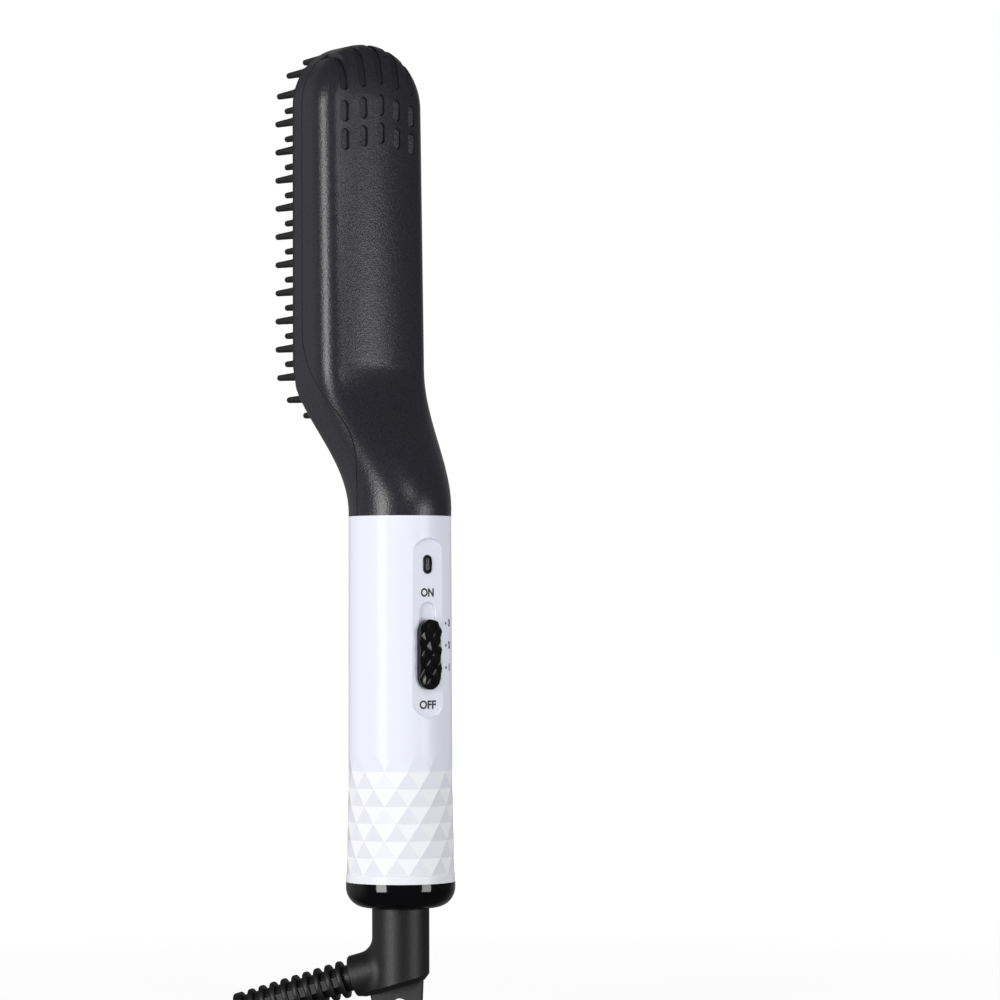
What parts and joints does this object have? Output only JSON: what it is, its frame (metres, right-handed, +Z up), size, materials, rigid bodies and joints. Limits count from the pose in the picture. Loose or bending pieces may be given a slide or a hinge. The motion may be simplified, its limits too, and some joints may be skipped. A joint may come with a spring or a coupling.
{
  "type": "beard straightening brush",
  "caption": "Handheld heated beard-straightening brush: toothed comb head round a finned hot plate, slide control on the handle, swivelling cord elbow with a hanging loop.",
  "frame": {"origin": "centre of the hanging hole in the cord end's tab, on the axis that the cord end turns about", "axes": "+Z up along the handle to the head, the comb's teeth face -Y, the slide control and the lamp face +Y"},
  "size_m": [0.0568, 0.0572, 0.2922],
  "materials": {
    "handle_white": "gloss",
    "shell_black": "satin soft-touch",
    "frame_black": "satin",
    "plate_coated": "ceramic-coated",
    "ceramic_heater": "matte ceramic",
    "insulator_film": "mica",
    "spring_steel": "brushed",
    "screw_steel": "zinc plated",
    "knob_black": "gloss",
    "cap_black": "gloss",
    "elbow_black": "satin",
    "relief_rubber": "matte",
    "lens_grey": "translucent",
    "bezel_black": "gloss",
    "board_green": "solder mask",
    "carrier_grey": "matte",
    "component_black": "moulded",
    "capacitor_blue": "sleeved",
    "film_red": "dipped",
    "switch_metal": "folded",
    "lamp_lens": "translucent",
    "lead_sleeve": "silicone",
    "contact_brass": "bright",
    "socket_white": "matte",
    "rotor_cream": "matte",
    "fuse_metal": "plated",
    "sensor_bead": "bead"
  },
  "bodies": {
    "handle": {"front_shell": "shell_black", "back_shell": "shell_black", "comb_frame": "frame_black", "heating_plate": "plate_coated", "heater_element": "ceramic_heater", "heater_insulator": "insulator_film", "clamp_plate": "spring_steel", "thermal_fuse": "fuse_metal", "temperature_sensor": "sensor_bead", "plate_screws": "screw_steel", "clamp_screws": "screw_steel", "shell_screws": "screw_steel", "heater_leads": "lead_sleeve", "handle_sleeve": "handle_white", "indicator_bezel": "bezel_black", "indicator_lens": "lens_grey", "board_carrier": "carrier_grey", "control_board": "board_green", "board_screws": "screw_steel", "slide_switch": "switch_metal", "indicator_lamp": "lamp_lens", "smoothing_capacitor": "capacitor_blue", "film_capacitor": "film_red", "power_triac": "component_black", "controller_chip": "component_black", "contact_socket": "socket_white", "contact_leaves": "contact_brass", "supply_leads": "lead_sleeve", "end_cap": "cap_black"},
    "level_slider": {"level_knob": "knob_black", "switch_lever": "component_black"},
    "cord_end": {"cord_elbow": "elbow_black", "retaining_clip": "spring_steel", "contact_rotor": "rotor_cream", "ring_contact": "contact_brass", "pin_contact": "contact_brass", "strain_relief": "relief_rubber"}
  },
  "joints": [
    {"name": "level_slide", "type": "slide", "parent": "handle", "child": "level_slider", "axis": [0, 0, 1], "range_m": [0, 0.0054]},
    {"name": "cord_swivel", "type": "hinge", "parent": "handle", "child": "cord_end", "pos_m": [0, 0, 0.0293], "axis": [0, 0, 1], "continuous": true}
  ]
}
